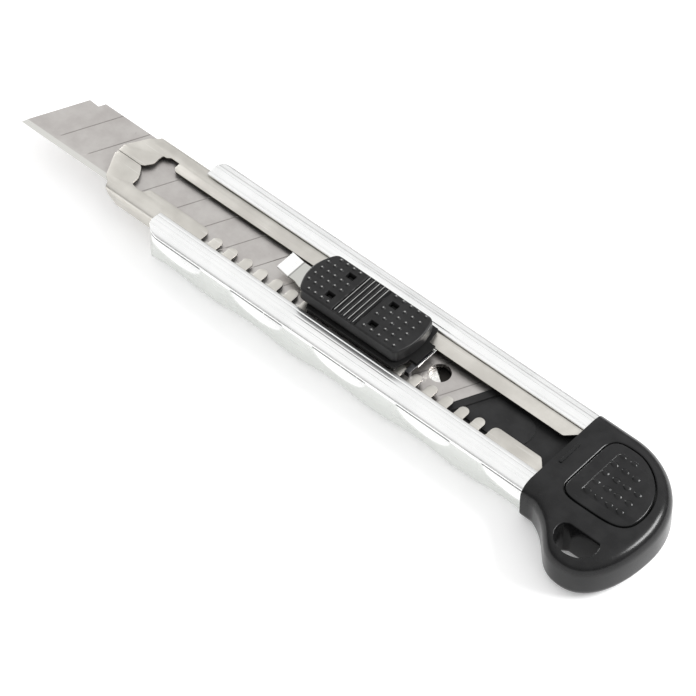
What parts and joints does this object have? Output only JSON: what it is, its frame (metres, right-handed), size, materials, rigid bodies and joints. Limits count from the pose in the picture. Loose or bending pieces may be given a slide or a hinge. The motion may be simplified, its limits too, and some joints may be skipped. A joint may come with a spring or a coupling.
{
  "type": "utility knife",
  "caption": "Snap-off utility knife with a ribbed thumb slider in a toothed steel channel, a wavy alloy casing, spare blades inside and a pull-off heel cap with a lanyard hole.",
  "frame": {"origin": "middle of the casing's flat back, on the surface the knife lies on", "axes": "+X towards the blade's tip, +Y towards the cutting edge and the finger waves, +Z towards the thumb slider"},
  "size_m": [0.2005, 0.0408, 0.0168],
  "materials": {
    "casing_alloy": "bright satin, polished cast",
    "channel_steel": "satin stainless sheet",
    "blade_steel": "fine ground carbon steel",
    "spring_steel": "bright spring steel",
    "black_plastic": "fine-grained black moulding",
    "cap_plastic": "satin black moulding with soft gloss"
  },
  "bodies": {
    "handle": {"casing": "casing_alloy", "blade_channel": "channel_steel", "channel_rivet_far": "spring_steel", "channel_rivet_near": "spring_steel", "lifter_spring": "spring_steel"},
    "spare_stack": {"spare_blade_upper": "blade_steel", "spare_blade_lower": "blade_steel", "lifter_plate": "spring_steel"},
    "slider": {"working_blade": "blade_steel", "slider_button": "black_plastic", "slider_base": "black_plastic", "slider_carrier": "spring_steel", "blade_pin": "spring_steel", "detent_spring": "spring_steel", "slider_rivet_front": "spring_steel", "slider_rivet_rear": "spring_steel"},
    "cap": {"end_cap": "cap_plastic", "cap_pad": "cap_plastic", "cap_clip": "spring_steel", "magazine_tongue": "black_plastic"}
  },
  "joints": [
    {"name": "slider_travel", "type": "slide", "parent": "handle", "child": "slider", "axis": [1, 0, 0], "range_m": [-0.0318, 0.0593], "deforming": ["detent_spring"]},
    {"name": "spare_stack_lift", "type": "slide", "parent": "handle", "child": "spare_stack", "axis": [0, 0, 1], "range_m": [-0.0008, 0], "stiffness_N_per_m": 300, "springref_m": 0.003, "deforming": ["lifter_spring"]},
    {"name": "cap_pull", "type": "slide", "parent": "handle", "child": "cap", "axis": [-1, 0, 0], "range_m": [0, 0.03]}
  ]
}
